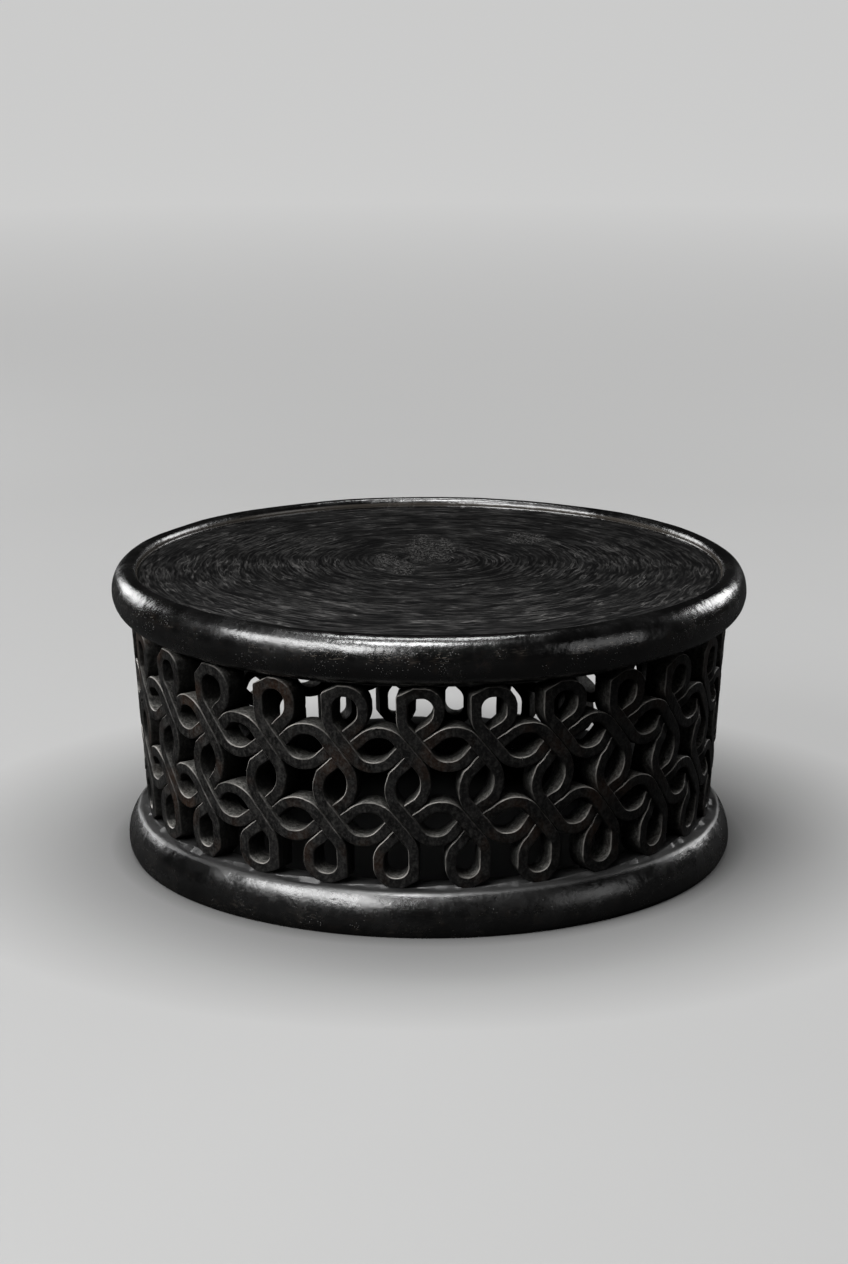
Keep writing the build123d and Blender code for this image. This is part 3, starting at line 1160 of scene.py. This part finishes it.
    def build(self, finish: Material) -> None:
        """Builds and dresses the two looped bands and the linked rings.

        Args:
            finish: material of the wall.
        """
        for name, sense in (("upper_looped_band", 1.0), ("lower_looped_band", -1.0)):
            order = range(self.columns) if sense > 0 else range(self.columns - 1, -1, -1)
            bands = [self.looped_column(column, sense) for column in order]
            dress(f"carved_{name}", self.swept(bands), finish, [name], self.crease)
        for number in range(self.columns):
            column = number if number <= self.columns // 2 else number - self.columns
            shape = self.swept([self.ring(column)])
            node = self.nearest_ring(shape)
            dress(f"carved_{node}", shape, finish, [node], self.crease)

    def lower_loop_places(self) -> tuple[float, ...]:
        """Angles round the axis of the lower loops, in radians from the front.

        Returns:
            The angle of each loop.
        """
        places = []
        for column in range(self.columns):
            across = column * self.pitch - self.knot.x - self.loop_shift
            middle = self.set_out(Vector((across, -self.height / 2)))
            places.append(middle.x / self.middle_radius + math.radians(self.first_column))
        return tuple(places)

    def nearest_ring(self, shape: bmesh.types.BMesh) -> str:
        """Name of the CAD ring that stands where a shape does.

        Args:
            shape: the shape of a ring.

        Returns:
            The node's name.
        """
        middle = sum((vert.co for vert in shape.verts), Vector()) / len(shape.verts)

        def gap(name: str) -> float:
            """How far the middle of a node lies from the shape's."""
            low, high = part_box(name)
            return ((low + high) / 2 - middle).length

        return min((f"linked_ring_{number + 1:02d}" for number in range(self.columns)), key=gap)


# ---- Rim, top and base ring ----


@dataclass
class TopRim:
    """Rounded rim round the top, rubbed smooth, with a thin bead along the field, marked as a rubbed edge and
    a painted highlight.
    """

    outer: float = 450.0
    crown_height: float = 413.0
    under_height: float = 344.0
    field_radius: float = 413.0
    field_height: float = 400.0
    shoulder_across: float = 26.0
    shoulder_down: float = 35.0
    inner_round: float = 8.5
    wall_outer: float = 422.5
    wall_inner: float = 388.5
    ledge_height: float = 358.0
    dents: tuple[Span, ...] = ((9.0, 0.9), (38.0, 0.28))
    # How strongly the bead is marked as a rubbed edge and a painted highlight.
    bead_wear_and_highlight: float = 0.55
    crease: float = 40.0
    steps: int = 540

    def profile(self) -> list[Point]:
        """Closed profile, from the foot of its outer side up, over the crown and back inside.

        Returns:
            Radius and height of each point.
        """
        side = self.crown_height - self.shoulder_down
        heel = self.wall_outer - 4.0
        under = arc((heel, side), (self.outer - heel, side - self.under_height), -84.0, 0.0, 20)
        over = arc((self.outer - self.shoulder_across, side), (self.shoulder_across, self.shoulder_down),
                   4.0, 90.0, 22)
        crown_in = self.field_radius + self.inner_round + 1.0
        foot = self.field_height + 0.4
        down = arc((crown_in, foot), (self.inner_round, self.crown_height - foot), 90.0, 172.0, 12)
        bead = [(self.field_radius + across, self.field_height + up)
                for across, up in ((1.6, -0.2), (0.9, 0.9), (-0.3, 1.0), (-0.9, -0.4))]
        seat = self.under_height - 4.5
        inner = [(bead[-1][0], self.ledge_height), (self.wall_inner, self.ledge_height),
                 (self.wall_inner, seat), (self.wall_outer - 11.0, seat),
                 (self.wall_outer - 10.0, self.under_height)]
        crown = finer([over[-1], down[0]], 4.0)[1:-1]
        return under + over + crown + down + bead + finer(inner, 8.0)

    def build(self, finish: Material) -> None:
        """Builds and dresses the rim.

        Args:
            finish: material of the rim.
        """
        shape = spun(self.profile(), True, self.steps)
        wear = shape.verts.layers.float["wear"]
        for vert in shape.verts:
            radius, height, outward = round_place(vert.co)
            # The bead's top gets wear, which the finish paints as a light line: a rubbed edge and a painted
            # highlight.
            if abs(radius - self.field_radius) < 2.0 and height > self.field_height + 0.5:
                vert[wear] = self.bead_wear_and_highlight
            if height < self.ledge_height - 2.0 and radius < self.wall_outer:
                continue
            normal = outward * smooth_step(radius, self.field_radius + 6.0, self.outer)
            normal.z = smooth_step(height, self.field_height, self.crown_height)
            vert.co += normal * dent(vert.co, self.dents)
        dress("rubbed_top_rim", shape, finish, ["top_rim"], self.crease)


@dataclass
class TableTop:
    """Sunk round top, gouged in rings of short overlapping strokes."""

    radius: float = TOP_RADIUS
    height: float = 400.0
    under: float = 358.0
    groove: float = 6.4
    wander: tuple[Span, ...] = ((8.0, 10.0), (26.0, 3.6))
    stroke_depth: float = 0.75
    groove_depth: float = 1.6
    patches: tuple[tuple[float, float, float, float], ...] = (
        (2.0, 118.0, 46.0, 95.0), (145.0, 190.0, 34.0, 46.0),
        (-37.0, -10.0, 22.0, 40.0), (-60.0, 60.0, 20.0, 50.0),
    )
    steps: int = 360
    ring_step: float = 1.9
    crease: float = 60.0
    seed: int = 5

    def stroke(self, radius: float, angle: float, phases: list[float]) -> float:
        """Depth of the gouge strokes at a place of the field.

        Args:
            radius: distance from the middle.
            angle: angle round the middle.
            phases: where the strokes of each ring start.

        Returns:
            Depth from 0 on the ridges to 1 in the strokes.
        """
        spot = Vector((radius * math.cos(angle), radius * math.sin(angle), 0.0)) * MM
        wander = sum(noise.noise(spot * scale) * reach for scale, reach in self.wander)
        place = (radius + wander) / self.groove
        ring = math.floor(place)
        across = 1.0 - (2.0 * (place - ring) - 1.0) ** 2
        length = 0.15 + 26.0 / max(radius, 40.0) * (0.7 + 0.6 * phases[ring % len(phases)])
        along = (angle / length + phases[(ring * 7 + 3) % len(phases)] * 9.0) % 1.0
        fade = smooth_step(along, 0.0, 0.18) * (1.0 - smooth_step(along, 0.72, 1.0))
        return across * (0.35 + 0.65 * fade)

    def build(self, finish: Material) -> None:
        """Builds and dresses the top.

        Args:
            finish: material of the top.
        """
        dice = random.Random(self.seed)
        phases = [dice.random() for _ in range(97)]
        rings = round(self.radius / self.ring_step)
        field_line = [(self.radius * i / rings, self.height) for i in range(rings + 1)]
        edge = [(self.radius, self.height - 6.0), (self.radius, self.under)]
        bottom = finer([(self.radius, self.under), (0.0, self.under)], 40.0)[1:]
        shape = spun(field_line + edge + bottom, False, self.steps)
        wear = shape.verts.layers.float["wear"]
        patch = shape.verts.layers.float.new("patch")
        for vert in shape.verts:
            if vert.co.z < (self.height - 1.0) * MM:
                continue
            radius = round_place(vert.co)[0]
            inward = 1.0 - (radius / self.radius) ** 2
            across, back = vert.co.x - SWIRL[0] * MM * inward, vert.co.y - SWIRL[1] * MM * inward
            cut = self.stroke(math.hypot(across, back) / MM, math.atan2(back, across), phases)
            rough = max(1.0 - math.hypot((vert.co.x / MM - x) / half_x, (vert.co.y / MM - y) / half_y)
                        for x, y, half_x, half_y in self.patches)
            ragged = smooth_step(rough + 0.5 * noise.noise(vert.co * 40.0), 0.05, 0.3)
            vert[patch] = ragged
            depth = self.stroke_depth * cut * (1.0 - 0.6 * ragged) + 0.5 + 0.5 * noise.noise(vert.co * 12.0)
            depth += ragged * (0.35 + 0.5 * noise.noise(vert.co * 150.0))
            depth *= smooth_step(radius, 4.0, 12.0)
            depth += self.groove_depth * smooth_step(radius, self.radius - 3.5, self.radius - 0.5)
            vert.co.z -= depth * MM
            patchy = 0.3 + 0.7 * smooth_step(noise.noise(vert.co * 7.0), -0.3, 0.4)
            vert[wear] = (1.0 - smooth_step(cut, 0.15, 0.62)) * patchy * (1.0 - ragged)
        dress("gouged_table_top", shape, finish, ["table_top"], self.crease)


@dataclass
class BaseRing:
    """Rounded base ring with a chipped ledge round the feet of the wall's loops."""

    outer: float = 433.0
    height: float = 61.0
    belly: float = 18.7
    flank: float = 60.0
    turn: float = 38.0
    lip: float = 14.0
    foot_outer: float = 427.0
    inner: float = 369.5
    chamfer: float = 4.0
    wall_foot: float = 403.5
    loop_places: tuple[float, ...] = ()
    loop_reach: float = 0.034
    dents: tuple[Span, ...] = ((9.0, 1.0), (36.0, 0.35))
    sill_height: Span = (3.4, 6.0)
    chisel_depth: Span = (0.2, 1.6)
    sill_lean: Span = (-1.2, 1.2)
    ledge_slope: Span = (0.17, 0.08)
    crease: float = 34.0
    steps: int = 1040
    seed: int = 3

    def __post_init__(self) -> None:
        """Draws how high each sill between two loops stands and how deep the chisel went before it."""
        dice = random.Random(self.seed)
        spreads = (self.sill_height, self.chisel_depth, self.sill_lean)
        self.sills = [tuple(dice.uniform(*spread) for spread in spreads) for _ in self.loop_places]

    def sill(self, turn: float) -> tuple[float, float]:
        """Height of the sill left between the loops, and depth of the chisel cut before it.

        Args:
            turn: angle round the axis from the front, in radians.

        Returns:
            Height above the ring's top and depth below it, in millimetres.
        """
        gaps = [(turn - place + math.pi) % math.tau - math.pi for place in self.loop_places]
        pitch = math.tau / len(gaps)
        owner = min(range(len(gaps)), key=lambda i: abs(gaps[i]))
        gap = gaps[owner]
        if gap < 0.0:
            gap += pitch
            owner -= 1
        high, deep, lean = self.sills[owner]
        share = gap / pitch
        low, top = self.loop_reach * 0.55, pitch - self.loop_reach * 0.55
        inside = smooth_step(gap, low, low + 0.8 * (top - low)) * (1.0 - smooth_step(gap, top - 0.004, top))
        return (high + lean * (share - 0.5)) * inside, deep * inside + 0.25

    def profile(self) -> list[Point]:
        """Closed profile, from the foot up the outer side and back down inside.

        Returns:
            Radius and height of each point.
        """
        under = arc((self.foot_outer - 6.0, self.belly), (self.outer - self.foot_outer + 6.0, self.belly),
                    -62.0, 0.0, 16)
        over = arc((self.outer - self.flank, self.belly), (self.flank, self.flank), 2.0, self.turn, 30)
        turn = math.radians(self.turn)
        middle = (over[-1][0] - self.lip * math.cos(turn), over[-1][1] - self.lip * math.sin(turn))
        over += arc(middle, (self.lip, self.lip), self.turn, 90.0, 8)[1:]
        ledge = [(self.wall_foot + 0.6 - 0.9 * i, self.height) for i in range(8)]
        inside = [(self.inner, self.height), (self.inner, self.chamfer), (self.inner + self.chamfer, 0.0)]
        return [(self.foot_outer - 0.5, 0.0)] + under[1:] + over + ledge + finer(inside, 9.0)

    def build(self, finish: Material) -> None:
        """Builds and dresses the base ring.

        Args:
            finish: material of the ring.
        """
        shape = spun(self.profile(), True, self.steps)
        for vert in shape.verts:
            radius, height, outward = round_place(vert.co)
            if radius > self.wall_foot - 10.0 and height > 2.0:
                vert.co += outward * (dent(vert.co, self.dents) * smooth_step(height, 0.0, 20.0))
            if height > self.belly + 6.0 and radius > self.inner + 1.0:
                rise, chip = self.sill(math.atan2(vert.co.x, -vert.co.y))
                skin = self.wall_foot + 1.2 * noise.noise(vert.co * 50.0)
                foot = skin + 0.9 + 0.5 * noise.noise(vert.co * 21.0 + Vector((5.0, 0.0, 0.0)))
                face = self.height + rise * (1.0 - smooth_step(radius, skin, foot))
                if radius > foot:
                    slope = self.ledge_slope[0] + self.ledge_slope[1] * noise.noise(vert.co * 17.0)
                    face = min(self.height - chip, self.height + 0.6 - slope * (radius - self.wall_foot))
                    round_face = vert.co.z / MM
                    blend = 0.5 + 0.5 * math.tanh((round_face - face) / 1.1)
                    face = round_face + (face - round_face) * blend
                vert.co.z = face * MM
        dress("rubbed_base_ring", shape, finish, ["base_ring"], self.crease)


# ---- Studio ----


@dataclass(frozen=True)
class Lamp:
    """A soft box: where it is, where it points, how large and how strong it is."""

    name: str
    place: Triple
    aim: Triple
    size: Point
    watts: float

    def build(self) -> None:
        """Adds the lamp to the scene."""
        data = bpy.data.lights.new(self.name, "AREA")
        data.shape = "RECTANGLE"
        data.size, data.size_y = self.size
        data.energy = self.watts
        made = put(self.name, data)
        made.location = self.place
        made.rotation_euler = (Vector(self.aim) - Vector(self.place)).to_track_quat("-Z", "Y").to_euler()
        made.visible_camera = False


@dataclass
class Studio:
    """Pale floor, soft boxes and the camera."""

    floor_radius: float = 40.0
    floor_colour: Colour = (0.20, 0.20, 0.199, 1.0)
    floor_mottle: Colour = (0.194, 0.194, 0.19303, 1.0)
    mottle: Grain = Grain(3.0, 2.0)
    shade_colour: Colour = (0.014, 0.014, 0.014, 1.0)
    # Reach, from the axis in metres, of the painted shadow under the table.
    shade_reach: Span = (0.38, 0.46)
    glow_colour: Colour = (1.0, 1.0, 0.995, 1.0)
    glow: float = 0.32
    # The glow rises over this reach, leaving a painted shadow round the table.
    glow_reach: Span = (0.40, 0.75)
    far_glow: float = 0.25
    far_reach: Span = (2.5, 8.0)
    air: float = 0.012
    sun_strength: float = 0.4
    sun_width: float = 60.0
    sun_aim: Triple = (0.35, 0.5, -1.6)
    lens: float = 86.83
    sensor: float = 36.0
    farthest: float = 100.0
    camera_place: Triple = (-0.007, -4.207, 1.3986)
    camera_pitch: float = 14.56
    lamps: tuple[Lamp, ...] = (
        Lamp("key_box", (-2.66, -2.51, 2.77), (0.0, -0.2, 0.3), (4.2, 1.45), 165.0),
        Lamp("top_box", (-0.5, -1.85, 4.56), (0.0, -0.2, 0.35), (2.1, 1.2), 105.0),
        Lamp("crown_box", (-0.15, 1.15, 4.9), (0.0, -0.2, 0.35), (2.2, 0.6), 50.0),
        Lamp("back_left_box", (-2.85, 2.75, 1.35), (0.0, 0.0, 0.3), (1.8, 1.3), 36.0),
        Lamp("back_right_box", (3.1, 2.45, 1.75), (0.0, 0.0, 0.3), (1.8, 1.4), 46.0),
        Lamp("front_right_box", (3.84, -2.04, 1.4), (0.0, -0.1, 0.3), (2.2, 1.8), 9.0),
    )

    def floor_finish(self) -> Material:
        """Pale floor for the camera, with painted shadow under and round the table; to other rays it is dark
        all over, so that it sends no light up into the wall.

        Returns:
            The material.
        """
        bench = NodeBench("pale_floor")
        seen = bench.node("ShaderNodeLightPath").outputs["Is Camera Ray"]
        far = bench.vector_math("LENGTH", bench.even)
        pale = bench.mix(bench.noise(self.mottle), self.floor_colour, self.floor_mottle)
        # Painted shadow: the floor the camera sees is near-black under the table and turns pale just outside
        # it.
        pale = bench.mix(bench.ramp(far, self.shade_reach), self.shade_colour, pale)
        # Painted shadow: no glow under the table, rising to full glow some way out.
        glow = bench.plus(bench.ramp(far, self.glow_reach, 0.0, self.glow),
                          bench.ramp(far, self.far_reach, 0.0, self.far_glow))
        bench.feed(bench.shader.inputs["Emission Color"], self.glow_colour)
        bench.feed(bench.shader.inputs["Emission Strength"], bench.times(seen, glow))
        bench.shade(bench.mix(seen, self.shade_colour, pale), 0.9, 0.2)
        return bench.material

    def build(self) -> None:
        """Builds the floor, the air, the lamps and the camera."""
        scene = bpy.context.scene
        shape = bmesh.new()
        bmesh.ops.create_circle(shape, cap_ends=True, radius=self.floor_radius, segments=96)
        floor = meshed("studio_floor", shape, self.floor_finish())
        scene.world = bpy.data.worlds.new("studio_air")
        scene.world.use_nodes = True
        back = scene.world.node_tree.nodes["Background"]
        back.inputs["Color"].default_value = (1.0, 1.0, 1.0, 1.0)
        back.inputs["Strength"].default_value = self.air
        sun = bpy.data.lights.new("soft_sun", "SUN")
        sun.energy = self.sun_strength
        sun.angle = math.radians(self.sun_width)
        put("soft_sun", sun).rotation_euler = Vector(self.sun_aim).to_track_quat("-Z", "Y").to_euler()
        for lamp in self.lamps:
            lamp.build()
        data = bpy.data.cameras.new("front_camera")
        data.sensor_width = self.sensor
        data.lens = self.lens
        data.clip_end = self.farthest
        camera = put("front_camera", data)
        camera.location = self.camera_place
        camera.rotation_euler = (math.radians(90.0 - self.camera_pitch), 0.0, 0.0)
        scene.camera = camera
        scene.view_settings.view_transform = "Standard"


def main() -> None:
    """Builds the table and the studio."""
    logging.basicConfig(level=logging.INFO, format="%(name)s: %(message)s")
    rim_finish = RubbedRimFinish().material()
    TopRim().build(rim_finish)
    wall = DrumWall()
    BaseRing(loop_places=wall.lower_loop_places()).build(rim_finish)
    TableTop().build(GougedTopFinish().material())
    wall.build(CutWallFinish().material())
    Studio().build()


if __name__ == "__main__":
    main()
